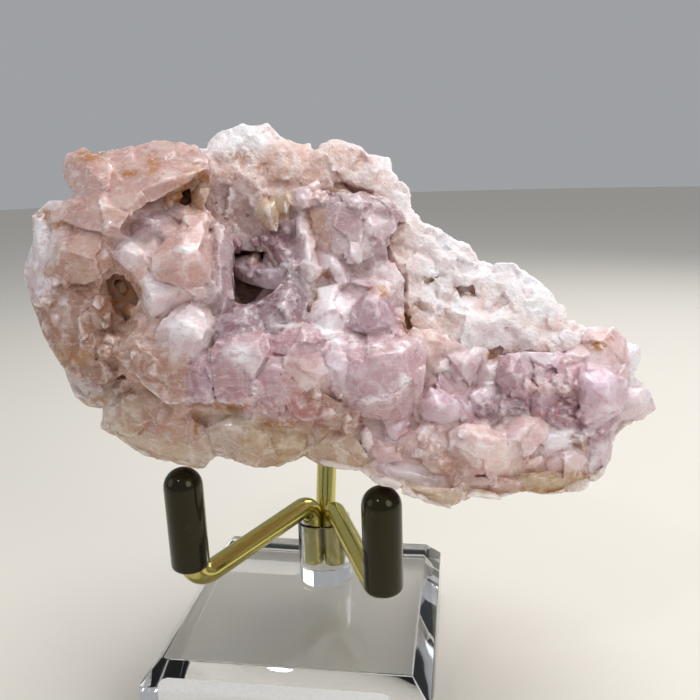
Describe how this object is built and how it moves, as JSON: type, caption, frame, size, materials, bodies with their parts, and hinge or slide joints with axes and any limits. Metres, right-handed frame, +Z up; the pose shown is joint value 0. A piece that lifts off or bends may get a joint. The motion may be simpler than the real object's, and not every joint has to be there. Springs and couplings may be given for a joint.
{
  "type": "pink amethyst on a display stand",
  "caption": "Rough pink amethyst cluster with a granular rind, resting on a clear acrylic and brass stand with capped arms.",
  "frame": {"origin": "middle of the block's underside", "axes": "+X along the stone's length to the viewer's right, +Y away from the viewer, +Z up"},
  "size_m": [0.0957, 0.047, 0.0937],
  "materials": {
    "pink_amethyst": "glassy pink crystals in a matte granular rind",
    "clear_acrylic": "clear, polished",
    "brass": "polished",
    "black_vinyl": "glossy",
    "white_card": "smooth, unprinted"
  },
  "bodies": {
    "root": {"amethyst_cluster": "pink_amethyst", "base_block": "clear_acrylic", "post": "clear_acrylic", "left_arm": "brass", "right_arm": "brass", "back_arm": "brass", "left_cap": "black_vinyl", "right_cap": "black_vinyl", "back_cap": "black_vinyl", "label": "white_card"}
  },
  "joints": []
}
